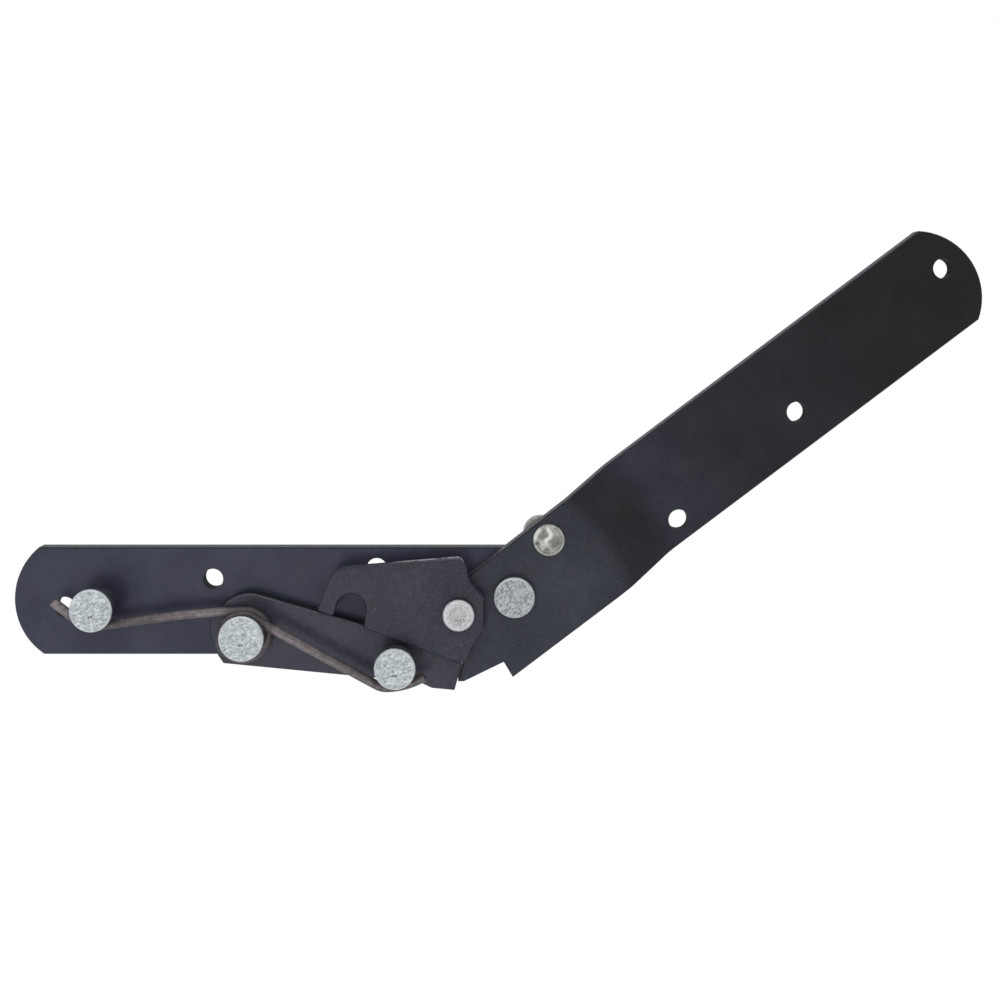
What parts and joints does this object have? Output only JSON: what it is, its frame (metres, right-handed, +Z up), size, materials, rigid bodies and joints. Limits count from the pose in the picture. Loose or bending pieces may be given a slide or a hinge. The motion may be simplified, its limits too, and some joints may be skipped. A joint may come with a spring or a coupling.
{
  "type": "sofa backrest hinge",
  "caption": "Flat steel ratchet hinge for a folding sofa backrest: joggled arm, toothed hub, strut pawl, notched latch plate and torsion spring on riveted pins.",
  "frame": {"origin": "turning axis of the backrest, in the back plane of both arms, which lies on the sofa's frame", "axes": "+X along the base arm towards the backrest, +Y to the sofa's frame behind the hinge, +Z up"},
  "size_m": [0.3174, 0.0191, 0.1489],
  "materials": {
    "black_steel": "black oxide and oil, slightly bluish, fine grain",
    "zinc_plated_steel": "dull mottled zinc plating",
    "bare_steel": "bare peened steel",
    "spring_wire": "oil hardened drawn spring wire, brownish grey"
  },
  "bodies": {
    "base": {"base_arm": "black_steel", "spring_anchor_pin": "zinc_plated_steel", "pawl_pivot_pin": "zinc_plated_steel", "main_pivot_pin": "zinc_plated_steel", "torsion_spring": "spring_wire"},
    "backrest": {"backrest_arm": "black_steel", "latch_rivet": "bare_steel", "stop_pin": "bare_steel"},
    "strut": {"pawl": "black_steel", "pawl_foot_pin": "zinc_plated_steel"},
    "latch": {"latch_plate": "black_steel"}
  },
  "joints": [
    {"name": "backrest_tilt", "type": "hinge", "parent": "base", "child": "backrest", "pos_m": [0, 0, 0], "axis": [0, -1, 0], "range_deg": [0, 57]},
    {"name": "pawl_swing", "type": "hinge", "parent": "base", "child": "strut", "pos_m": [-0.0855, 0, -0.0103], "axis": [0, -1, 0], "range_deg": [-16, 0], "deforming": ["torsion_spring"]},
    {"name": "latch_swing", "type": "hinge", "parent": "backrest", "child": "latch", "pos_m": [-0.0179, 0, -0.0046], "axis": [0, -1, 0], "range_deg": [-46.8, 0]}
  ],
  "couplings": [
    {"joint": "pawl_swing", "follows": "backrest_tilt", "ratio": -0.28},
    {"joint": "latch_swing", "follows": "backrest_tilt", "ratio": -0.82}
  ]
}
